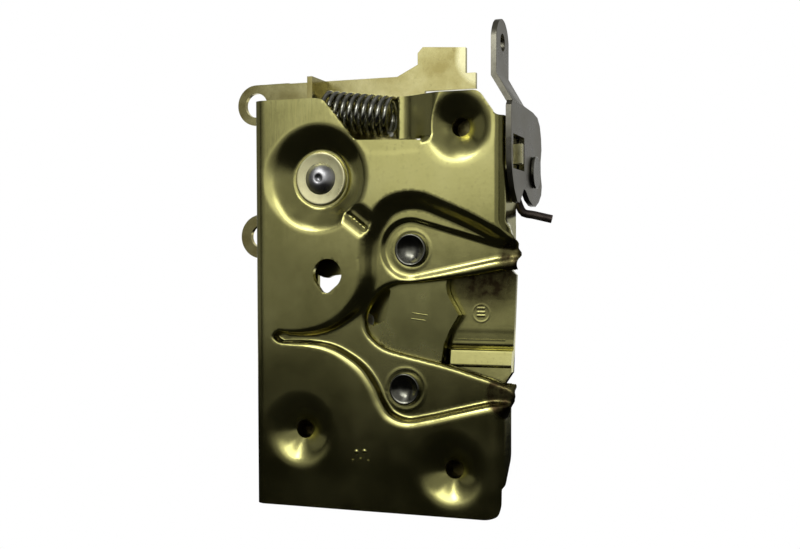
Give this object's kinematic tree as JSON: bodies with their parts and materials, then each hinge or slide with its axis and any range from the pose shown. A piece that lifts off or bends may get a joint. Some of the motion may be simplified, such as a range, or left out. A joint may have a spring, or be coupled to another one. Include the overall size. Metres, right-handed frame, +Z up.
{
  "type": "car door lock",
  "caption": "Side-mouth rotary car door lock: pressed face case with mouth, claw, pawl and link inside, release, lock and side levers, and an exposed return coil spring",
  "frame": {"origin": "centre of the latched striker, in the plane of the fixing face", "axes": "+X along the face towards the door's shut edge, the way the striker leaves; +Y back from the face into the door; +Z up"},
  "size_m": [0.0909, 0.0376, 0.1295],
  "materials": {
    "zinc_case": "yellow zinc passivate, satin",
    "zinc_lever": "yellow zinc passivate, satin",
    "claw_steel": "olive passivated steel",
    "rivet_steel": "dark oiled steel",
    "bright_steel": "plain grey steel",
    "spring_steel": "zinc plated spring wire",
    "grey_steel": "grey zinc plate with a warm cast",
    "dark_wire": "dark phosphate",
    "black_rubber": "matt"
  },
  "bodies": {
    "case": {"face_case": "zinc_case", "back_plate": "zinc_case", "claw_rivet": "rivet_steel", "claw_washer": "bright_steel", "claw_spring": "spring_steel", "claw_bumper": "black_rubber", "pawl_rivet": "rivet_steel", "link_guide": "bright_steel", "release_spring": "spring_steel", "lever_rivet": "bright_steel", "pivot_washer": "zinc_lever", "lever_spacer": "bright_steel", "lock_spring": "spring_steel", "rear_clip": "rivet_steel", "side_pivot": "rivet_steel", "side_spring": "dark_wire"},
    "claw": {"claw": "claw_steel"},
    "pawl": {"pawl": "claw_steel", "pawl_pin": "bright_steel"},
    "link": {"release_link": "zinc_lever"},
    "release": {"release_lever": "zinc_lever", "release_pin": "bright_steel", "release_sleeve": "rivet_steel", "tab_lever": "zinc_lever"},
    "lock": {"lock_lever": "zinc_lever"},
    "side": {"side_lever": "grey_steel"}
  },
  "joints": [
    {"name": "claw_turn", "type": "hinge", "parent": "case", "child": "claw", "pos_m": [0, 0.0073, 0.0191], "axis": [0, 1, 0], "range_deg": [0, 60], "stiffness_Nm_per_rad": 0.02, "springref_deg": -22.92, "deforming": ["claw_spring"]},
    {"name": "release_turn", "type": "hinge", "parent": "case", "child": "release", "pos_m": [-0.0251, 0.014, 0.0385], "axis": [0, 1, 0], "range_deg": [-5, 3.5], "stiffness_Nm_per_rad": 1.5, "deforming": ["release_spring"]},
    {"name": "link_slide", "type": "slide", "parent": "case", "child": "link", "axis": [0, 0, -1], "range_m": [-0.0017, 0.0012]},
    {"name": "pawl_turn", "type": "hinge", "parent": "case", "child": "pawl", "pos_m": [-0.0011, 0.0073, -0.0176], "axis": [0, -1, 0], "range_deg": [-6.5, 4.6]},
    {"name": "side_turn", "type": "hinge", "parent": "case", "child": "side", "pos_m": [0.027, 0.027, 0.0405], "axis": [1, 0, 0], "range_deg": [-11.2, 7.9], "deforming": ["side_spring"]},
    {"name": "lock_turn", "type": "hinge", "parent": "case", "child": "lock", "pos_m": [-0.0251, 0.016, 0.0385], "axis": [0, 1, 0], "range_deg": [0, 16], "deforming": ["lock_spring"]}
  ],
  "couplings": [
    {"joint": "link_slide", "follows": "release_turn", "m_per_rad": 0.0179},
    {"joint": "pawl_turn", "follows": "release_turn", "ratio": 1.28},
    {"joint": "side_turn", "follows": "release_turn", "ratio": 2.2}
  ]
}
